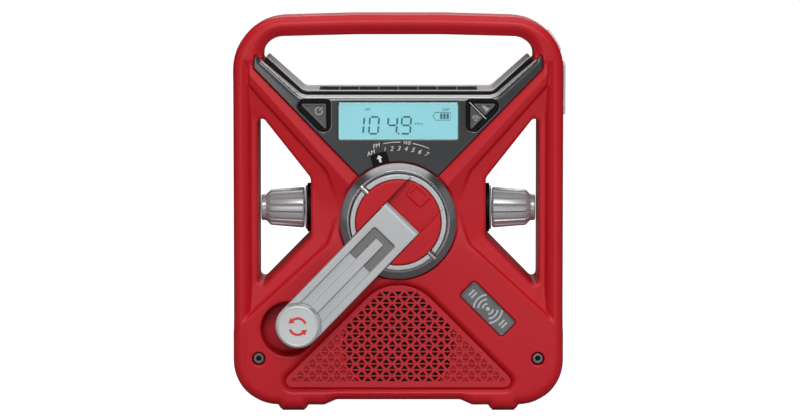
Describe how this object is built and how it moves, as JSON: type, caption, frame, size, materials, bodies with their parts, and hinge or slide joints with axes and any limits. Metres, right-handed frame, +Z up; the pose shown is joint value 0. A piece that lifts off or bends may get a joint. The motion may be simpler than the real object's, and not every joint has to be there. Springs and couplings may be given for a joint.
{
  "type": "emergency radio",
  "caption": "Hand-crank emergency radio in a two-shell carrying frame, with a folding crank, side knobs, display, band selector, speaker, solar tray, lamps and whip antenna.",
  "frame": {"origin": "on the resting plane, midway between the feet, at the parting plane of the two shells", "axes": "+X to the radio's own right as seen from the front, +Y towards the back, +Z up; the front faces -Y"},
  "size_m": [0.1471, 0.066, 0.175],
  "materials": {
    "red_plastic": "satin",
    "grey_plastic": "satin",
    "dark_gloss_plastic": "gloss",
    "black_plastic": "satin",
    "silver_plastic": "satin",
    "steel": "brushed",
    "chrome": "polished",
    "brass": "machined",
    "gear_plastic": "satin",
    "circuit_board": "satin",
    "display": "gloss",
    "solar_cell": "gloss",
    "speaker_paper": "matte",
    "battery_can": "gloss",
    "clear_lens": "clear",
    "black_rubber": "matte"
  },
  "bodies": {
    "housing": {"front_shell": "red_plastic", "rear_shell": "red_plastic", "console_panel": "dark_gloss_plastic", "lcd_lens": "clear_lens", "lcd_module": "display", "display_board": "circuit_board", "top_cover": "grey_plastic", "solar_panel": "solar_cell", "speaker_grille": "red_plastic", "speaker_frame": "steel", "speaker_cone": "speaker_paper", "nameplate": "grey_plastic", "crank_bearing": "brass", "gearbox_front_plate": "steel", "gearbox_rear_plate": "steel", "generator": "steel", "tuning_bezel": "silver_plastic", "tuning_encoder": "black_plastic", "volume_bezel": "silver_plastic", "volume_control": "black_plastic", "flashlight_lens": "clear_lens", "led_board": "circuit_board", "beacon_lens": "clear_lens", "main_board": "circuit_board", "usb_socket": "steel", "ferrite_rod": "black_plastic", "battery_tray": "black_plastic", "battery_1": "battery_can", "battery_2": "battery_can", "battery_3": "battery_can", "foot_pad_left": "black_rubber", "foot_pad_right": "black_rubber", "front_screw_left": "steel", "front_screw_right": "steel", "rear_screw_left": "steel", "rear_screw_right": "steel"},
    "crank_hub": {"crank_hub": "red_plastic", "hub_ring": "silver_plastic", "hinge_pin": "steel", "crank_shaft": "steel", "drive_gear": "gear_plastic"},
    "crank_arm": {"crank_arm": "silver_plastic"},
    "crank_knob": {"knob_grip": "black_plastic", "knob_cap": "silver_plastic"},
    "idler": {"idler_gear": "gear_plastic"},
    "rotor": {"rotor_pinion": "brass"},
    "band_selector": {"band_ring": "dark_gloss_plastic", "band_pointer": "black_plastic"},
    "tuning_knob": {"tuning_knob": "silver_plastic"},
    "volume_knob": {"volume_knob": "silver_plastic"},
    "power_button": {"power_button": "dark_gloss_plastic"},
    "light_button": {"light_button": "dark_gloss_plastic"},
    "alert_button": {"alert_button": "dark_gloss_plastic"},
    "battery_door": {"battery_door": "red_plastic"},
    "port_cover": {"port_cover": "black_rubber"},
    "antenna_pivot": {"antenna_pivot": "steel"},
    "antenna_base": {"antenna_tube": "chrome"},
    "antenna_middle": {"antenna_middle": "chrome"},
    "antenna_rod": {"antenna_rod": "chrome"}
  },
  "joints": [
    {"name": "crank_spin", "type": "hinge", "parent": "housing", "child": "crank_hub", "pos_m": [0, 0, 0.0845], "axis": [0, 1, 0], "continuous": true},
    {"name": "crank_fold", "type": "hinge", "parent": "crank_hub", "child": "crank_arm", "pos_m": [0, -0.0297, 0.0845], "axis": [-0.7193, 0, 0.6947], "range_deg": [0, 180]},
    {"name": "knob_spin", "type": "hinge", "parent": "crank_arm", "child": "crank_knob", "pos_m": [-0.04411, -0.0297, 0.03882], "axis": [0, 1, 0], "continuous": true},
    {"name": "idler_spin", "type": "hinge", "parent": "housing", "child": "idler", "pos_m": [0, 0, 0.0605], "axis": [0, 1, 0], "continuous": true},
    {"name": "rotor_spin", "type": "hinge", "parent": "housing", "child": "rotor", "pos_m": [0.0192, 0, 0.0605], "axis": [0, 1, 0], "continuous": true},
    {"name": "band_select", "type": "hinge", "parent": "housing", "child": "band_selector", "pos_m": [0, 0, 0.0845], "axis": [0, 1, 0], "range_deg": [-5.6, 39.2]},
    {"name": "tuning_turn", "type": "hinge", "parent": "housing", "child": "tuning_knob", "pos_m": [-0.05, 0, 0.0886], "axis": [-1, 0, 0], "continuous": true},
    {"name": "volume_turn", "type": "hinge", "parent": "housing", "child": "volume_knob", "pos_m": [0.05, 0, 0.0886], "axis": [1, 0, 0], "range_deg": [-150, 150]},
    {"name": "power_press", "type": "slide", "parent": "housing", "child": "power_button", "axis": [0, 1, 0], "range_m": [0, 0.0012]},
    {"name": "light_press", "type": "slide", "parent": "housing", "child": "light_button", "axis": [0, 1, 0], "range_m": [0, 0.0012]},
    {"name": "alert_press", "type": "slide", "parent": "housing", "child": "alert_button", "axis": [0, 1, 0], "range_m": [0, 0.0012]},
    {"name": "battery_door_open", "type": "hinge", "parent": "housing", "child": "battery_door", "pos_m": [0, 0.026, 0.0123], "axis": [-1, 0, 0], "range_deg": [0, 110]},
    {"name": "port_cover_open", "type": "hinge", "parent": "housing", "child": "port_cover", "pos_m": [0, 0.026, 0.1003], "axis": [-1, 0, 0], "range_deg": [0, 120]},
    {"name": "antenna_swing", "type": "hinge", "parent": "housing", "child": "antenna_pivot", "pos_m": [-0.058, 0.03, 0.1335], "axis": [0, -1, 0], "range_deg": [0, 180]},
    {"name": "antenna_tilt", "type": "hinge", "parent": "antenna_pivot", "child": "antenna_base", "pos_m": [-0.058, 0.03, 0.1335], "axis": [0, 0, 1], "range_deg": [0, 90]},
    {"name": "antenna_middle_slide", "type": "slide", "parent": "antenna_base", "child": "antenna_middle", "axis": [1, 0, 0], "range_m": [0, 0.078]},
    {"name": "antenna_rod_slide", "type": "slide", "parent": "antenna_middle", "child": "antenna_rod", "axis": [1, 0, 0], "range_m": [0, 0.082]}
  ],
  "couplings": [
    {"joint": "idler_spin", "follows": "crank_spin", "ratio": -3},
    {"joint": "rotor_spin", "follows": "crank_spin", "ratio": 9}
  ]
}
